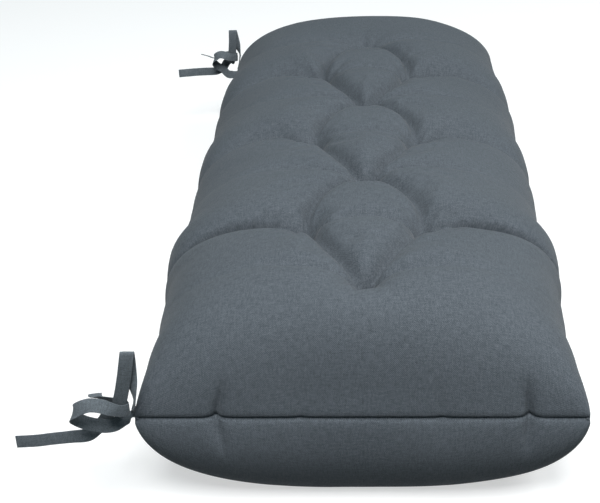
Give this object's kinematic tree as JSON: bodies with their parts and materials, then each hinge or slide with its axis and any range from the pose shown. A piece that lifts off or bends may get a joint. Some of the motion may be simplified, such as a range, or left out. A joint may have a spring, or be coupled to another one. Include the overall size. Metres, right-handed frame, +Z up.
{
  "type": "tufted bench cushion",
  "caption": "Plump rectangular bench cushion with a plain edge seam, buttonless tufting down the middle and bow-knotted tie tapes at the corners of one long side.",
  "frame": {"origin": "middle of the flat underside that the cushion lies on", "axes": "+Z up through the thickness, +Y along the length to the far end, +X across, away from the side with the ties"},
  "size_m": [0.6439, 1.2339, 0.2515],
  "materials": {
    "anthracite_cloth": "matte plain weave",
    "anthracite_tape": "matte folded and stitched cloth tape"
  },
  "bodies": {
    "root": {"cushion": "anthracite_cloth", "near_lying_tape": "anthracite_tape", "near_standing_tape": "anthracite_tape", "far_lying_tape": "anthracite_tape", "far_standing_tape": "anthracite_tape"}
  },
  "joints": []
}
